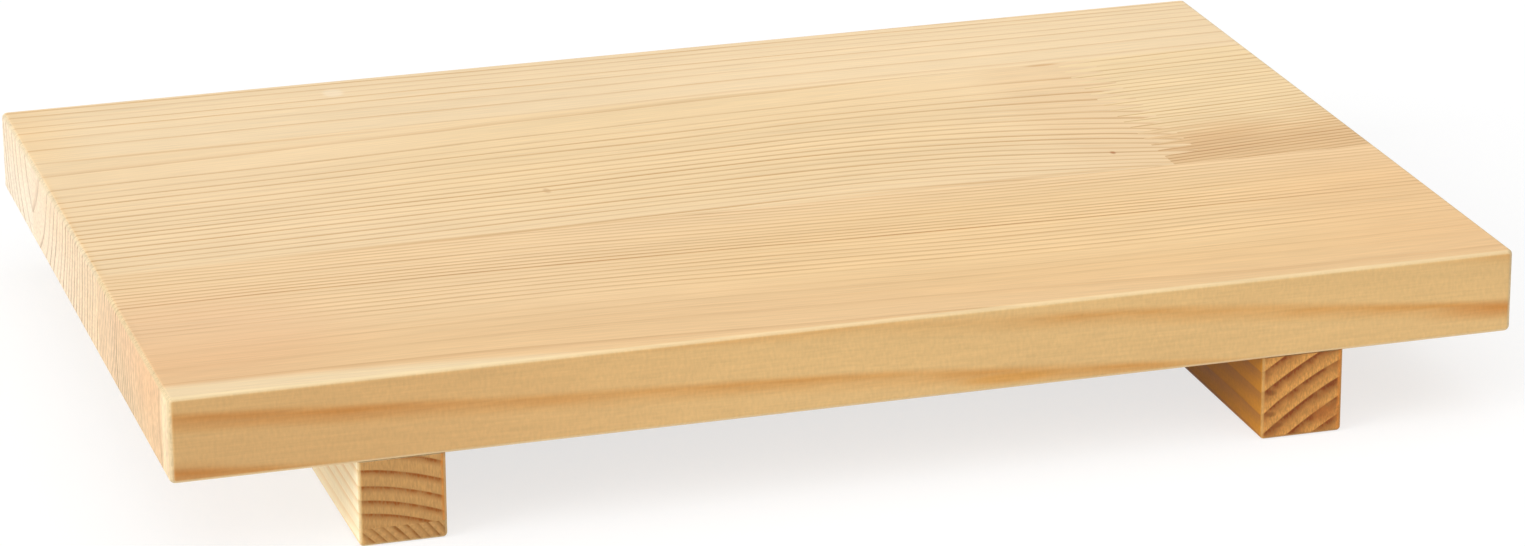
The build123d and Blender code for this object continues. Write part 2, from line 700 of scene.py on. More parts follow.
@dataclass(frozen=True)
class PineFinish:
    """Bare pine, planed and sanded: pale early wood, darker late wood in lines, a dull soft sheen.

    Real fibres are about 0.04 mm wide. Here they are 0.6 mm, and the specks that they make on sawn ends
    0.4 mm or more, so that they show.

    Attributes:
        name: the material's name.
        figure: its ring lines.
        face: its colours on the level faces.
        end: its colours on the sawn ends.
        edge: its colours on the long upright sides: partly how pine looks there, partly painted light and
            shade, darker and warmer as painted shade on most pieces, paler as painted light on the left
            foot.
        side_figure: the ring lines on its long upright sides, where they run another way.
        mottle: how uneven the late wood is on the sawn ends, from 0 to 1.
        speck: size of the specks on the sawn ends.
        speck_depth: how much paler or darker the specks are.
        fibre: size of the fibres.
        fibre_depth: how much paler or darker they are.
        drift: size of the broad drifts of tone.
        drift_depth: how much paler or darker they are.
        worn_and_painted_light: the colour that the rounded edges are mixed nearer to: partly what sanding
            leaves, partly painted highlight where it is paler than the faces and painted shade where it is
            darker, as on the feet.
        rubbed_and_lit_share: share of that colour there.
        broken: share of the fibres on the long sides that cross sanding broke up into specks.
        torn_and_shaded: the least and the most by which the rounded edges of the sawn ends are darkened in
            specks: partly the open fibres there, partly painted shade.
        roughness: of early wood and of late wood.
        relief: height of the fibres.
        ridge: how much higher late wood stands, in heights of a fibre.
        stains: patches on the faces and ends that follow the fibres.
        side_stains_and_shade: patches on the long upright sides that follow the fibres; on the feet, painted
            shade that darkens the side under the board.
        flecks: small marks in fixed places.
    """

    name: str
    figure: Figure
    face: Tones
    end: Tones
    edge: Tones = Tones("efd0a0", "d6a768")
    side_figure: Figure | None = None
    mottle: float = 0.3
    speck: Triple = (0.7, 0.7, 0.7)
    speck_depth: float = 0.15
    fibre: Triple = (16.0, 0.6, 0.6)
    fibre_depth: float = 0.055
    drift: Triple = (120.0, 12.0, 12.0)
    drift_depth: float = 0.035
    worn_and_painted_light: str = "f0dfbc"
    rubbed_and_lit_share: float = 0.6
    broken: float = 0.25
    torn_and_shaded: tuple[float, float] = (0.03, 0.27)
    roughness: tuple[float, float] = (0.62, 0.52)
    relief: float = 0.12
    ridge: float = 0.6
    stains: tuple[Stain, ...] = ()
    side_stains_and_shade: tuple[Stain, ...] = ()
    flecks: tuple[Stain, ...] = ()

    def level_and_end(self, add: Adder, grown: Feed, line: Feed, specks: Feed, end: Feed) -> Node:
        """Colours the level faces and the sawn ends.

        Args:
            add: adds a node to the material's tree.
            grown: along, the fibre's own place across, and up, as a vector.
            line: the share of late wood.
            specks: the specks' noise.
            end: 1 on the sawn ends.

        Returns:
            A node that gives the colour.
        """
        dotted = add("ShaderNodeMapRange", specks, *CRISP, 1 - self.mottle, 1 + self.mottle)
        end_line = add("ShaderNodeMath", line, dotted, operation="MULTIPLY", use_clamp=True)
        wood = add(
            "ShaderNodeMix",
            data_type="RGBA",
            Factor_Float=end,
            A_Color=self.face.mixed(add, line),
            B_Color=self.end.mixed(add, end_line),
        )
        for stain in self.stains:
            wood = stain.over(add, grown, wood)
        return wood

    def long_side(self, add: Adder, spot: Feed, grown: Feed, line: Feed) -> Node:
        """Colours the long upright sides.

        Args:
            add: adds a node to the material's tree.
            spot: along, across and up as a vector.
            grown: the same with the fibre's own place across.
            line: the share of late wood.

        Returns:
            A node that gives the colour.
        """
        if self.side_figure:
            grown = self.side_figure.grown(add, spot)
            line = self.side_figure.late_wood(add, grown)
        wood = self.edge.mixed(add, line)
        for stain in self.side_stains_and_shade:
            wood = stain.over(add, grown, wood)
        return wood

    def shade(self, add: Adder, grown: Feed, fibres: Feed, specks: Feed, faces: Faces) -> Node:
        """Works out how much paler or darker the wood is from place to place, with painted shade in specks
        on the rounded edges of the sawn ends.

        Args:
            add: adds a node to the material's tree.
            grown: along, the fibre's own place across, and up, as a vector.
            fibres: the fibres' noise.
            specks: the specks' noise.
            faces: the kinds of face.

        Returns:
            A node that gives what the colour is multiplied by.
        """
        tone, fibre_tone, speck_tone = (
            add("ShaderNodeMapRange", noise, *MOST, 1 - depth, 1 + depth)
            for noise, depth in (
                (uneven(add, grown, self.drift, self.figure.seed), self.drift_depth),
                (fibres, self.fibre_depth),
                (specks, self.speck_depth),
            )
        )
        broken = add("ShaderNodeMath", faces.side, self.broken, operation="MULTIPLY")
        speckled = add("ShaderNodeMath", broken, faces.end, operation="MAXIMUM")
        fine = add("ShaderNodeMix", Factor_Float=speckled, A_Float=fibre_tone, B_Float=speck_tone)
        value = add("ShaderNodeMath", tone, fine, operation="MULTIPLY")
        # The sawn ends' rounded edges are darkened in specks: partly torn fibres, partly painted shade.
        torn_and_shaded = add("ShaderNodeMapRange", specks, *CRISP, *self.torn_and_shaded)
        loss = add("ShaderNodeMath", faces.cut_arris, torn_and_shaded, operation="MULTIPLY")
        kept = add("ShaderNodeMath", 1.0, loss, operation="SUBTRACT")
        return add("ShaderNodeMath", value, kept, operation="MULTIPLY")

    def material(self, axes: GrainFrame) -> Material:
        """Builds the finish.

        Args:
            axes: the piece's grain frame.

        Returns:
            The node material.
        """
        material, tree = blank_material(self.name)
        add = partial(add_node, tree)
        coordinates = add("ShaderNodeTexCoord")
        spot = axes.spot(add, coordinates.outputs["Object"])
        faces = axes.faces(add, coordinates.outputs["Normal"])
        grown = self.figure.grown(add, spot)
        line = self.figure.late_wood(add, grown)
        specks = uneven(add, spot, self.speck, self.figure.seed)
        fibres = uneven(add, grown, self.fibre, self.figure.seed)

        wood = add(
            "ShaderNodeMix",
            data_type="RGBA",
            Factor_Float=faces.side,
            A_Color=self.level_and_end(add, grown, line, specks, faces.end),
            B_Color=self.long_side(add, spot, grown, line),
        )
        for fleck in self.flecks:
            wood = fleck.over(add, spot, wood)
        # Rounded edges are mixed towards one colour: partly the paler wood that sanding leaves, partly
        # painted highlight on the staves and painted shade on the feet, where it is darker.
        wood = add(
            "ShaderNodeMix",
            data_type="RGBA",
            Factor_Float=add("ShaderNodeMath", faces.arris, self.rubbed_and_lit_share, operation="MULTIPLY"),
            A_Color=wood,
            B_Color=linear(self.worn_and_painted_light),
        )
        value = self.shade(add, grown, fibres, specks, faces)
        wood = add("ShaderNodeHueSaturation", Value=value, Color=wood)

        roughness = add("ShaderNodeMapRange", line, 0.0, 1.0, *self.roughness)
        height = add("ShaderNodeMath", line, self.ridge, fibres, operation="MULTIPLY_ADD")
        bump = add("ShaderNodeBump", Strength=0.35, Distance=self.relief * MM, Height=height)
        sockets = {"Base Color": wood, "Roughness": roughness, "Normal": bump}
        shader = add("ShaderNodeBsdfPrincipled", **sockets, **{"IOR": 1.45, "Specular IOR Level": 0.35})
        add("ShaderNodeOutputMaterial", shader)
        return material


@dataclass(frozen=True)
class PlatedSteel:
    """Zinc-plated steel, cold-headed: a pale grey metal with a faint cloudy sheen.

    Attributes:
        name: the material's name.
        bright: colour of the clean plating.
        dull: colour of the cloudier plating.
        cloud: size of the clouds in millimetres.
        roughness: of the clean plating and of the cloudier.
    """

    name: str = "zinc_plated_steel"
    bright: str = "c9cbcd"
    dull: str = "a3a6a8"
    cloud: float = 2.5
    roughness: tuple[float, float] = (0.28, 0.45)

    def material(self) -> Material:
        """Builds the finish.

        Returns:
            The node material.
        """
        material, tree = blank_material(self.name)
        add = partial(add_node, tree)
        place = add("ShaderNodeTexCoord").outputs["Object"]
        clouds = add("ShaderNodeTexNoise", place, Scale=1 / (self.cloud * MM), Detail=3.0)
        colour = Tones(self.bright, self.dull).mixed(add, clouds)
        roughness = add("ShaderNodeMapRange", clouds, *MOST, *self.roughness)
        sockets = {"Base Color": colour, "Roughness": roughness, "Metallic": 1.0}
        add("ShaderNodeOutputMaterial", add("ShaderNodeBsdfPrincipled", **sockets))
        return material


# Places and depths of the patches in the wood, in millimetres in each piece's grain frame.
LEFT_END = round(CAD_BOX[0].x / MM, 3)
RIGHT_END = round(CAD_BOX[1].x / MM, 3)
FOOT_FRONT = round(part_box("right_foot")[0].y / MM, 3)
SKIN = 3.0  # depth of a patch that shows on a sawn end alone
THROUGH = 60.0  # reach of a patch that goes right through a piece
ENDLESS = 2000.0  # reach of a patch that is the same from end to end

# The palest pine: clear lines that lie closer towards the back edge, and a small pale spot near it.
BACK_STAVE_PINE = PineFinish(
    name="sanded_pine_back_stave",
    figure=Figure(
        rings=GrowthRings(
            pith=(52.0, 5.0), first=14.7, young_width=9.25, old_width=0.3, ageing=27.8,
            late_least=0.7, late_share=0.12, stray=0.05,
        ),
        paths=(Slope(rate=0.0, fan=0.0007, centre=15.0, start=0.0),),
        strength=(0.32, 0.78),
        seed=3.0,
    ),
    face=Tones("f1d6ac", "d0a061"),
    end=Tones("ebdac1", "96652f"),
    stains=(Soak("fffaf2", (LEFT_END, 20, 0), (20, 60, 14), core=0.1),),
    flecks=(Stain("f7e3c4", (-71.7, 10, 0), (3.2, 3.6, 3), 0.6, 0.5),),
)
# Straw-coloured pine: lines that bend towards a knot cut off at the joint, small brown marks, and
# tan streaks along the glue lines.
LONG_MIDDLE_STAVE_PINE = PineFinish(
    name="sanded_pine_long_middle_stave",
    figure=Figure(
        rings=GrowthRings(
            pith=(24.0, 14.0), first=30.9, young_width=14.4, old_width=2.935, ageing=6.8,
            late_least=0.8, late_share=0.1, seed=11.0,
        ),
        paths=(
            Slope(rate=0.041, fan=-0.00033, centre=80.0, start=-140.0),
            KnotBend(start=12.8, centre=107.8, spread=45.0, rate=0.0018),
        ),
        years=(Years(76.8, 8.0, 1.5),),
        strength=(0.33, 0.8),
        seed=7.0,
    ),
    face=Tones("f1d4a8", "c59355"),
    end=Tones("ecd6b9", "855523"),
    stains=(
        Soak("fbf3e4", (LEFT_END, 130, -10), (SKIN, 70, THROUGH), core=0.0),
        Soak("fefaf4", (LEFT_END, 72, 0), (SKIN, 36, 13)),
        Soak("f4ebe2", (112, 116, 0), (14, 16, THROUGH), core=0.2),
        Soak("fbf8f5", (96, 75, 0), (24, 70, THROUGH), core=0.4),
        Soak("fefdf8", (0, 80, 0), (110, 60, THROUGH), core=0.4),
    ),
    flecks=(
        Stain("c79a68", (-41.7, 95.8, 0), (1.2, 2.6, 2), 0.45),
        Stain("b06a2c", (90, 109.5, 0), (0.9, 1.3, 1.5), 0.8),
        Stain("c9965c", (97, 41.2, 0), (6, 1, 3), 0.6),
        Stain("dcb17a", (-110, 41.7, 0), (70, 1, 3), 0.5),
        Stain("d9b07a", (-60, 121.4, 0), (85, 1.6, 3), 0.55),
        Stain("d9b07a", (55, 120.6, 0), (60, 1.6, 3), 0.45),
    ),
)
# Yellow pine with fine lines and a ragged brown patch towards the front.
SHORT_MIDDLE_STAVE_PINE = PineFinish(
    name="sanded_pine_short_middle_stave",
    figure=Figure(
        rings=GrowthRings(
            pith=(25.0, 8.0), first=15.0, young_width=3.9, old_width=1.8, ageing=25.0,
            late_least=0.5, late_share=0.15, seed=23.0,
        ),
        paths=(Slope(rate=0.062, fan=0.0005, centre=80.0, start=125.0),),
        years=(Years(89.0, 12.0, 1.5),),
        strength=(0.4, 0.85),
        seed=13.0,
    ),
    face=Tones("f1d5a6", "c4924f"),
    end=Tones("ebd8b9", "d8b688"),
    stains=(
        Soak("efe3d9", (125, 128, 0), (200, 44, THROUGH), core=0.4, ragged=0.2),
        Soak("f6efea", (112, 108, 0), (20, 10, THROUGH), 0.4, 0.2, 0.3),
    ),
)
# Warmer pine: fine lines that sway and lie wider apart towards the front, and tan patches at its ends.
FRONT_STAVE_PINE = PineFinish(
    name="sanded_pine_front_stave",
    figure=Figure(
        rings=GrowthRings(
            pith=(225.0, -9.0), first=35.0, young_width=9.5, old_width=1.95, ageing=13.0,
            late_least=0.5, late_share=0.22, seed=31.0,
        ),
        paths=(Sway(between=(186.0, 196.0), step=(7.3, 13.0), length=(55.0, 90.0)),),
        years=(
            Years(82.0, 3.0, 1.7),
            Years(87.2, 1.4, 1.5),
            Years(95.2, 1.4, 1.5),
            Years(50.0, 17.0, 0.35),
        ),
        strength=(0.33, 0.7),
        seed=19.0,
    ),
    # Rings that lean half over reach the front side, so that few broad lines cross it.
    side_figure=Figure(
        rings=GrowthRings(
            pith=(-508.0, -708.0), first=997.9, young_width=8.3, old_width=8.2, ageing=50.0,
            late_least=2.4, fade=1.2,
        ),
        paths=(
            Slope(rate=0.0608, fan=0.0, centre=200.0, start=-145.0),
            KnotBend(start=-100.0, centre=200.0, spread=1000.0, rate=0.00014),
            KnotBend(start=-40.0, centre=200.0, spread=1000.0, rate=-0.0003),
        ),
        strength=(0.55, 0.7),
        seed=19.0,
    ),
    face=Tones("f0cfa0", "ba8546"),
    # The front side is darker and warmer than the top: partly how pine looks along its side, partly painted
    # shade.
    edge=Tones("e3bb7e", "d08c38"),
    end=Tones("e6c7a0", "6a3c14"),
    speck=(0.7, 0.5, 1.6),
    speck_depth=0.18,
    worn_and_painted_light="efd8a9",
    stains=(
        Soak("f2f2ef", (LEFT_END, 158, -8), (SKIN, 24, 30)),
        Stain("ebbf93", (-140, 168, 0), (50, 40, 18), 0.52),
        Soak("fffdf6", (70, 152, 0), (140, 42, THROUGH), core=0.5),
        Stain("ebbf8a", (RIGHT_END, 150, 0), (60, 50, 40), 0.45),
        Soak("f8f1e8", (0, 200, 0), (ENDLESS, 45, ENDLESS), core=0.35),
        Stain("f0d8ae", (LEFT_END, 210, 0), (150, 19, ENDLESS), 0.85, 0.8),
        Soak("f6f1f2", (LEFT_END, 202, -12), (SKIN, 8, 13), core=0.5),
    ),
    side_stains_and_shade=(
        Soak("f2ebe6", (LEFT_END, 200, -10), (150, 40, THROUGH)),
        Soak("f2e0c6", (-140, 201, -5.9), (32, 40, 2.8), 0.45),
        Soak("f2e0c6", (-106, 201, -7.6), (28, 40, 2.4), 0.35),
        Soak("ecd0b0", (LEFT_END, 200, -17.5), (18, 40, 4.5), 0.4),
        Stain("d9932f", (33, 212, -16.4), (16, 60, 1.6), 0.5),
        Soak("f2dcc4", (148, 222, -13.3), (24, 60, 3.2), 0.6),
        Stain("e3bb7e", (13, 208, -3), (42, 60, 4.2), 0.75),
        Stain("e3bb7e", (92, 214, -6.3), (30, 60, 3.6), 0.4),
    ),
)
# Pale sides, painted paler than the top as painted light from the low lamp at the left, the inner one a
# little deeper as painted shade under the board, and a tan end with bold brown rings.
UPPER_STRIP_PINE = PineFinish(
    name="sanded_pine_left_foot_upper_strip",
    figure=Figure(
        rings=GrowthRings(
            pith=(-13.0, -45.0), first=52.5, young_width=2.75, old_width=5.2, ageing=20.0,
            late_least=1.5, fade=0.4, stray=0.03,
        ),
        years=(Years(48.8, 2.8, 0.08),),
        strength=(0.85, 1.0),
        seed=29.0,
    ),
    face=Tones("f7e6c2", "e4c490"),
    # Sides paler than the top: painted light from the low lamp at the left.
    edge=Tones("fff2d0", "efd09a"),
    end=Tones("c39458", "924d08"),
    speck=(0.7, 0.4, 1.6),
    speck_depth=0.14,
    worn_and_painted_light="eec98a",
    # Painted shade: the inner side, under the board, a little deeper in colour.
    side_stains_and_shade=(Soak("f4e8d6", (0, 9.5, 9.5), (ENDLESS, 12, THROUGH), core=0.7),),
    flecks=(Stain("d88a3a", (FOOT_FRONT, 9.4, 12), (8, 1.5, 40), 0.7, 0.5),),
)
# The same, with fine rings at a slant.
LOWER_STRIP_PINE = replace(
    UPPER_STRIP_PINE,
    name="sanded_pine_left_foot_lower_strip",
    figure=Figure(
        rings=GrowthRings(
            pith=(-42.0, -33.0), first=49.0, young_width=1.85, old_width=1.8, ageing=20.0,
            late_least=1.1, stray=0.05,
        ),
        seed=37.0,
    ),
    end=Tones("c3955a", "8f5820"),
    speck=PineFinish.speck,
    flecks=(),
)
# Browner pine, with sides painted darker than its top and its inner side darker and yellower still, as
# painted shade under the board: broad dark rings across a rough end, and a few dark spots.
RIGHT_FOOT_PINE = PineFinish(
    name="sanded_pine_right_foot",
    figure=Figure(
        rings=GrowthRings(
            pith=(45.0, -62.0), first=79.2, young_width=3.85, old_width=3.8, ageing=20.0,
            late_least=3.6, fade=0.35,
        ),
        strength=(0.9, 1.0),
        seed=41.0,
    ),
    face=Tones("e2b97e", "c08a4c"),
    # Sides darker than the top, as painted shade.
    edge=Tones("d7ab69", "b2843c"),
    end=Tones("d5994f", "803c08"),
    mottle=0.2,
    speck=(0.7, 0.4, 1.0),
    speck_depth=0.24,
    worn_and_painted_light="d4a25c",
    # Painted shade: the inner side, under the board, darker and yellower.
    side_stains_and_shade=(Soak("e5c258", (0, -9.5, 9.5), (ENDLESS, 12, THROUGH), core=0.7),),
    flecks=(
        Stain("de8a36", (FOOT_FRONT, 9.4, 10), (8, 1.5, 40), 0.7, 0.5),
        Stain("ae5f22", (FOOT_FRONT, 5.5, 4.6), (3, 5, 3), 0.45),
        Stain("6e3408", (FOOT_FRONT, -7.3, 10.8), (3, 1.6, 0.9), 0.5),
        Stain("6e3408", (FOOT_FRONT, -7.3, 5.8), (3, 1.6, 0.9), 0.5),
        Stain("6e3408", (FOOT_FRONT, -5.7, 3.1), (3, 1.8, 0.9), 0.5),
    ),
)


@dataclass
class FingerJoint:
    """The glued fingers across the middle stave.

    Attributes:
        root: where along the board the fingers' roots are, in millimetres.
        length: length of a finger.
        pitch: distance from one finger to the next.
        tip_width: width of the flat tip.
        shoulder: plain butt between the front glue line and the first finger.
    """

    root: float = 100.5
    length: float = 9.0
    pitch: float = 4.5
    tip_width: float = 0.8
    shoulder: float = 6.5

    def line(self, front: float, back: float) -> list[tuple[float, float]]:
        """Draws the joint from the front glue line to the back one.

        Args:
            front: the front glue line, in millimetres.
            back: the back glue line.

        Returns:
            Points along the board and across it, from front to back.
        """
        flank = self.pitch / 2 - self.tip_width
        tip = self.root + self.length
        tip_end = flank + self.tip_width
        corners = [(self.root, 0.0), (tip, flank), (tip, tip_end), (self.root, tip_end + flank)]
        points = [(self.root, front)]
        start = front + self.shoulder
        while start < back:
            points += [(x, start + across) for x, across in corners]
            start += self.pitch
        inside = [point for point in points if point[1] < back]
        (x0, y0), (x1, y1) = inside[-1], points[len(inside)]
        cut = x0 + (x1 - x0) * (back - y0) / (y1 - y0)
        return [*inside, (cut, back)]


@dataclass
class Panel:
    """The board's top: three staves glued edge to edge, the middle one in two lengths.

    Attributes:
        corner_radius: rounding of the upright corners, in millimetres.
        corner_steps: steps round a corner.
        arris_radius: rounding of the top and bottom edges.
        arris_steps: steps round an edge.
        joint: the finger joint.
        slot: a material slot's name; not used.
    """

    corner_radius: float = 1.4
    corner_steps: int = 12
    arris_radius: float = 1.2
    arris_steps: int = 6
    joint: FingerJoint = field(default_factory=FingerJoint)
    slot: str = "panel_pine"

    def axes(self) -> GrainFrame:
        """Gives the grain frame that all staves share, from the back stave's box."""
        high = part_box("back_stave")[1]
        return GrainFrame(Grain.BOARD_LENGTH, (0.0, high.y / MM, high.z / MM))

    def ease(self, mesh: BMesh, low: Vector, high: Vector, open_ends: Sequence[float]) -> None:
        """Rounds the edges of a stave that are on the outside of the board.

        Args:
            mesh: the stave, with its upright corners already rounded.
            low: the stave's lowest corner.
            high: its highest corner.
            open_ends: where along the board it has ends that aren't glued.
        """
        board_low, board_high = CAD_BOX
        outer = set()
        for x in open_ends:
            outer |= edges_at(mesh, "x", x)
        for y in (low.y, high.y):
            if abs(y - board_low.y) < NEAR or abs(y - board_high.y) < NEAR:
                outer |= edges_at(mesh, "y", y)
        flat = edges_at(mesh, "z", low.z) | edges_at(mesh, "z", high.z)
        outer |= {edge for edge in flat if self.on_corner(edge, low, high)}
        round_edges(mesh, outer & flat, self.arris_radius * MM, self.arris_steps)

    def on_corner(self, edge: BMEdge, low: Vector, high: Vector) -> bool:
        """Tells whether an edge is a step of a rounded upright corner.

        Args:
            edge: the edge.
            low: the stave's lowest corner.
            high: its highest corner.

        Returns:
            Whether both its ends are near an end of the stave and a long edge of the board.
        """
        reach = self.corner_radius * MM + NEAR
        near_end = all(min(v.co.x - low.x, high.x - v.co.x) < reach for v in edge.verts)
        near_side = all(min(v.co.y - CAD_BOX[0].y, CAD_BOX[1].y - v.co.y) < reach for v in edge.verts)
        return near_end and near_side

    def outer_stave(self, node: str, finish: PineFinish) -> Object:
        """Makes the back or front stave.

        Args:
            node: the CAD node that it stands for.
            finish: its pine.

        Returns:
            The stave.
        """
        low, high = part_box(node)
        mesh = block(low, high)
        outside = low.y if abs(low.y - CAD_BOX[0].y) < NEAR else high.y
        corners = upright(edges_at(mesh, "y", outside))
        round_edges(mesh, corners, self.corner_radius * MM, self.corner_steps)
        self.ease(mesh, low, high, (low.x, high.x))
        return wooden_piece(mesh, node, finish.material(self.axes()))

    def middle_stave(self, node: str, finish: PineFinish, end: float) -> Object:
        """Makes one length of the middle stave, from an end of the board to the finger joint.

        Args:
            node: the CAD node that it stands for.
            finish: its pine.
            end: where along the board its plain end is.

        Returns:
            The stave.
        """
        low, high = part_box(node)
        fingers = self.joint.line(low.y / MM, high.y / MM)
        outline = [*fingers, (end / MM, high.y / MM), (end / MM, low.y / MM)]
        mesh = bmesh.new()
        underside = mesh.faces.new([mesh.verts.new((x * MM, y * MM, low.z)) for x, y in outline])
        top = bmesh.ops.extrude_face_region(mesh, geom=[underside], use_keep_orig=True)["geom"]
        raised = [part for part in top if isinstance(part, BMVert)]
        bmesh.ops.translate(mesh, verts=raised, vec=(0, 0, high.z - low.z))
        self.ease(mesh, low, high, (end,))
        return wooden_piece(mesh, node, finish.material(self.axes()))


@dataclass
class Feet:
    """The two batten feet, drilled for their screws. The left one is two strips glued together.

    Attributes:
        arris_radius: rounding of the soles' edges and the upright corners, in millimetres.
        arris_steps: steps round an edge.
        head_radius: the countersunk hole at the sole.
        head_depth: depth of its straight part.
        shank_radius: the hole above the countersink.
        screw_to_end: from a foot's end to the middle of its screw.
        hole_steps: steps round a quarter of a hole.
        square: half the side of the square that a hole is made from, in head radii.
        slot: a material slot's name; not used.
    """

    arris_radius: float = 1.0
    arris_steps: int = 6
    head_radius: float = 3.6
    head_depth: float = 1.4
    shank_radius: float = 1.85
    screw_to_end: float = 25.0
    hole_steps: int = 8
    square: float = 1.5
    slot: str = "foot_pine"

    def axes(self, node: str) -> GrainFrame:
        """Gives a foot's grain frame from its box."""
        low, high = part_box(node)
        return GrainFrame(Grain.FOOT_LENGTH, ((low.x + high.x) / 2 / MM, 0.0, 0.0))

    def hole(self, bottom: float, top: float) -> list[tuple[float, float]]:
        """Draws the screw hole's side between two heights.

        Args:
            bottom: the lower face, in millimetres above the sole.
            top: the upper face.

        Returns:
            Radius and height at each step, from the bottom up.
        """
        cone_end = self.head_depth + self.head_radius - self.shank_radius
        side = [(self.head_radius, 0.0), (self.head_radius, self.head_depth), (self.shank_radius, cone_end)]
        kept = [(radius, z) for radius, z in side if bottom <= z < top]
        start = [] if kept else [(self.shank_radius, bottom)]
        return [*start, *kept, (self.shank_radius, top)]

    def square_round(self, mesh: BMesh, centre: Vector) -> BMFace:
        """Cuts a square out of a level face round the place of a hole.

        Args:
            mesh: the foot.
            centre: the hole's place on the face.

        Returns:
            The square, with enough corners on its sides for the hole's circle.
        """
        reach = self.square * self.head_radius * MM
        for axis in (Vector((1, 0, 0)), Vector((0, 1, 0))):
            for side in (-reach, reach):
                face = self.face_under(mesh, centre)
                bmesh.ops.bisect_plane(
                    mesh,
                    geom=[face, *face.edges, *face.verts],
                    dist=NEAR,
                    plane_co=centre + side * axis,
                    plane_no=axis,
                )
        square = self.face_under(mesh, centre)
        bmesh.ops.subdivide_edges(mesh, edges=square.edges, cuts=self.hole_steps - 1)
        return self.face_under(mesh, centre)

    def face_under(self, mesh: BMesh, spot: Vector) -> BMFace:
        """Finds the level face that a spot lies on.

        Args:
            mesh: the foot.
            spot: the spot.

        Returns:
            The face.
        """
        level = [face for face in mesh.faces if abs(face.normal.z) > LEVEL]
        there = [face for face in level if abs(face.calc_center_median().z - spot.z) < NEAR]
        return next(face for face in there if bmesh.geometry.intersect_face_point(face, spot))

    def drill(self, mesh: BMesh, x: float, y: float, side: list[tuple[float, float]]) -> None:
        """Drills one hole through a foot from its lower face to its upper one.

        Args:
            mesh: the foot.
            x: the hole's place along the board, in metres.
            y: its place across the board.
            side: the hole's radius and height at each step, in millimetres, from the bottom up.
        """
        mesh.normal_update()
        (_, bottom), (end_radius, top) = side[0], side[-1]
        upper = self.square_round(mesh, Vector((x, y, top * MM)))
        lid = self.step_in(mesh, upper, x, y, end_radius, top)
        plug = self.square_round(mesh, Vector((x, y, bottom * MM)))
        for radius, z in side:
            plug = self.step_in(mesh, plug, x, y, radius, z)
        bmesh.ops.delete(mesh, geom=[lid, plug], context="FACES_ONLY")
        bmesh.ops.remove_doubles(mesh, verts=mesh.verts, dist=NEAR)

    def step_in(self, mesh: BMesh, face: BMFace, x: float, y: float, radius: float, z: float) -> BMFace:
        """Extrudes a face to a circle round a hole's axis.

        Args:
            mesh: the foot.
            face: the face to extrude.
            x: the hole's place along the board, in metres.
            y: its place across the board.
            radius: the circle's radius, in millimetres.
            z: its height.

        Returns:
            The face inside the circle.
        """
        moved = bmesh.ops.extrude_face_region(mesh, geom=[face, *face.edges])["geom"]
        for vertex in (part for part in moved if isinstance(part, BMVert)):
            outward = Vector((vertex.co.x - x, vertex.co.y - y)).normalized() * radius * MM
            vertex.co = (x + outward.x, y + outward.y, z * MM)
        return next(part for part in moved if isinstance(part, BMFace))

    def strip(self, node: str, finish: PineFinish) -> Object:
        """Makes a foot, or one strip of it.

        Args:
            node: the CAD node that it stands for.
            finish: its pine.

        Returns:
            The piece.
        """
        low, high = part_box(node)
        mesh = block(low, high)
        round_edges(mesh, upright(mesh.edges), self.arris_radius * MM, self.arris_steps)
        if abs(low.z - CAD_BOX[0].z) < NEAR:
            round_edges(mesh, edges_at(mesh, "z", low.z), self.arris_radius * MM, self.arris_steps)
        side = self.hole(low.z / MM, high.z / MM)
        for y in (low.y + self.screw_to_end * MM, high.y - self.screw_to_end * MM):
            self.drill(mesh, (low.x + high.x) / 2, y, side)
        return wooden_piece(mesh, node, finish.material(self.axes(node)))


@dataclass
class FootScrews:
    """The four countersunk screws, shown as the CAD node that they are."""

    node: str = "foot_screws"

    def dress(self, finish: PlatedSteel) -> None:
        """Gives the screws their plating.

        Args:
            finish: the plating.
        """
        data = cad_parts[self.node].data
        data.materials.clear()
        data.materials.append(finish.material())
        log.info("%s: dressed as %s", self.node, finish.name)


@dataclass(frozen=True)
class Lamp:
    """A wide soft lamp far away.

    Attributes:
        name: the lamp's name.
        towards: the direction from the board to the lamp.
        share: what it adds on a face turned to it, where 1 shows a colour as written.
        softness: how wide it looks from the board, in degrees.
    """

    name: str
    towards: tuple[float, float, float]
    share: float
    softness: float

    def hang(self) -> None:
        """Adds the lamp to the scene."""
        data = bpy.data.lights.new(self.name, "SUN")
        data.energy = self.share * math.pi
        data.angle = math.radians(self.softness)
        lamp = bpy.data.objects.new(self.name, data)
        lamp.rotation_euler = Vector(self.towards).to_track_quat("Z", "Y").to_euler()
        bpy.context.scene.collection.objects.link(lamp)


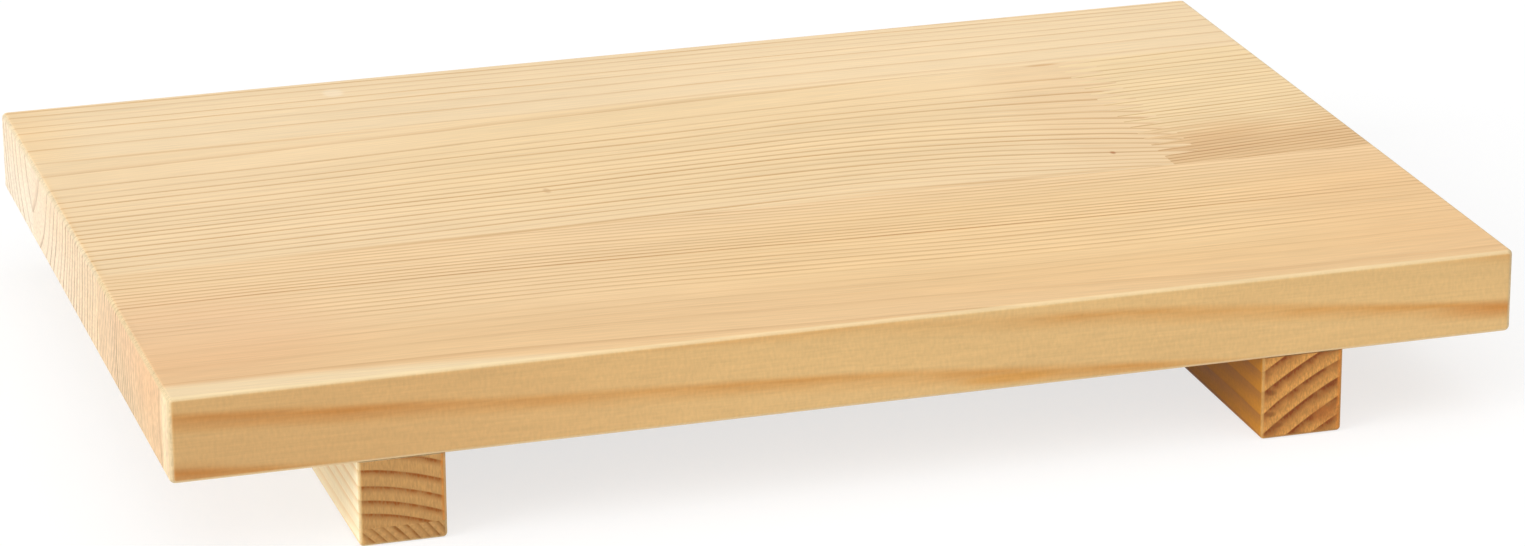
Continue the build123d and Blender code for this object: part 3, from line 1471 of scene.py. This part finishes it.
@dataclass
class Studio:
    """The camera, the pale floor and the soft light.

    Attributes:
        azimuth: the camera's turn round the board, in degrees, with 0 in front of it.
        elevation: its height above the horizon, in degrees.
        roll: its turn about its own axis, in degrees.
        distance: from the camera to what it looks at, in millimetres.
        target: the place that it looks at.
        lens: its focal length on a 36 mm sensor.
        lamps: the low lamp at the left and the one overhead.
        sky: share of full light from all round.
        floor_reach: from the floor's middle to its sides, in millimetres.
        floor_drop: from the soles down to the floor.
        paper: the floor's colour in the light that it throws back on the board.
        shaded: how much of the floor's white, as it is seen, the lamps give, so that shadows show.
        glow: how much it has in any shadow.
    """

    azimuth: float = -17.0
    elevation: float = 19.65
    roll: float = -0.27
    distance: float = 1268.6
    target: tuple[float, float, float] = (8.07, 0.0, 14.16)
    lens: float = 130.15
    lamps: tuple[Lamp, ...] = (
        Lamp("key_at_left", (-0.91, -0.24, 0.34), 0.58, 40.0),
        Lamp("fill_overhead", (0.0, -0.25, 0.97), 0.47, 90.0),
    )
    sky: float = 0.35
    floor_reach: float = 6000.0
    floor_drop: float = 0.05
    paper: str = "f8f8f8"
    shaded: float = 0.3
    glow: float = 0.72

    def camera(self) -> None:
        """Sets up the camera at the viewing angle of the photograph."""
        turn, rise, roll = (math.radians(angle) for angle in (self.azimuth, self.elevation, self.roll))
        back = Vector((math.sin(turn) * math.cos(rise), -math.cos(turn) * math.cos(rise), math.sin(rise)))
        right = Vector((0, 0, 1)).cross(back).normalized()
        level = Matrix((right, back.cross(right), back)).transposed()
        data = bpy.data.cameras.new("camera")
        data.lens = self.lens
        camera = bpy.data.objects.new("camera", data)
        camera.matrix_world = (
            Matrix.Translation((Vector(self.target) + back * self.distance) * MM)
            @ (level @ Matrix.Rotation(roll, 3, "Z")).to_4x4()
        )
        bpy.context.scene.collection.objects.link(camera)
        bpy.context.scene.camera = camera

    def seen_directly(self, add: Adder) -> Node:
        """Tells the rays from the camera, straight or by a mirror or glass, from the rest.

        Args:
            add: adds a node to the tree.

        Returns:
            A node that gives 1 on those and 0 on the rest.
        """
        path = add("ShaderNodeLightPath").outputs
        mirrored = add("ShaderNodeMath", path["Is Camera Ray"], path["Is Glossy Ray"], operation="MAXIMUM")
        return add("ShaderNodeMath", mirrored, path["Is Transmission Ray"], operation="MAXIMUM")

    def sky_light(self) -> None:
        """Sets an even light from all round, which shows as white behind the board."""
        world = bpy.data.worlds.new("studio")
        world.use_nodes = True
        tree = world.node_tree
        tree.nodes.clear()
        add = partial(add_node, tree)
        light = add("ShaderNodeBackground", linear("ffffff"), self.sky)
        white = add("ShaderNodeBackground", linear("ffffff"), 1.0)
        add("ShaderNodeOutputWorld", add("ShaderNodeMixShader", self.seen_directly(add), light, white))
        bpy.context.scene.world = world

    def floor(self) -> None:
        """Lays a pale matt floor that shows white in full light and keeps the board's shadow."""
        mesh = bmesh.new()
        bmesh.ops.create_grid(mesh, x_segments=1, y_segments=1, size=self.floor_reach * MM)
        bmesh.ops.translate(mesh, verts=mesh.verts, vec=(0, 0, -self.floor_drop * MM))
        data = bpy.data.meshes.new("floor")
        mesh.to_mesh(data)
        mesh.free()
        material, tree = blank_material("matt_white_paper")
        add = partial(add_node, tree)
        paper = add("ShaderNodeBsdfDiffuse", linear(self.paper))
        shaded = add("ShaderNodeBsdfDiffuse", (self.shaded, self.shaded, self.shaded, 1.0))
        glow = add("ShaderNodeEmission", linear("ffffff"), self.glow)
        white = add("ShaderNodeAddShader", shaded, glow)
        add("ShaderNodeOutputMaterial", add("ShaderNodeMixShader", self.seen_directly(add), paper, white))
        data.materials.append(material)
        floor = bpy.data.objects.new("floor", data)
        bpy.context.scene.collection.objects.link(floor)

    def build(self) -> None:
        """Sets up everything round the board."""
        bpy.context.scene.view_settings.view_transform = "Standard"
        self.camera()
        self.sky_light()
        for lamp in self.lamps:
            lamp.hang()
        self.floor()
        log.info("studio: camera, floor and light")


def main() -> None:
    """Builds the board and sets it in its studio."""
    logging.basicConfig(level=logging.INFO, format="%(name)s: %(message)s")
    panel = Panel()
    panel.outer_stave("back_stave", BACK_STAVE_PINE)
    panel.outer_stave("front_stave", FRONT_STAVE_PINE)
    panel.middle_stave("middle_stave_long", LONG_MIDDLE_STAVE_PINE, CAD_BOX[0].x)
    panel.middle_stave("middle_stave_short", SHORT_MIDDLE_STAVE_PINE, CAD_BOX[1].x)
    feet = Feet()
    feet.strip("left_foot_upper_strip", UPPER_STRIP_PINE)
    feet.strip("left_foot_lower_strip", LOWER_STRIP_PINE)
    feet.strip("right_foot", RIGHT_FOOT_PINE)
    FootScrews().dress(PlatedSteel())
    Studio().build()


if __name__ == "__main__":
    main()
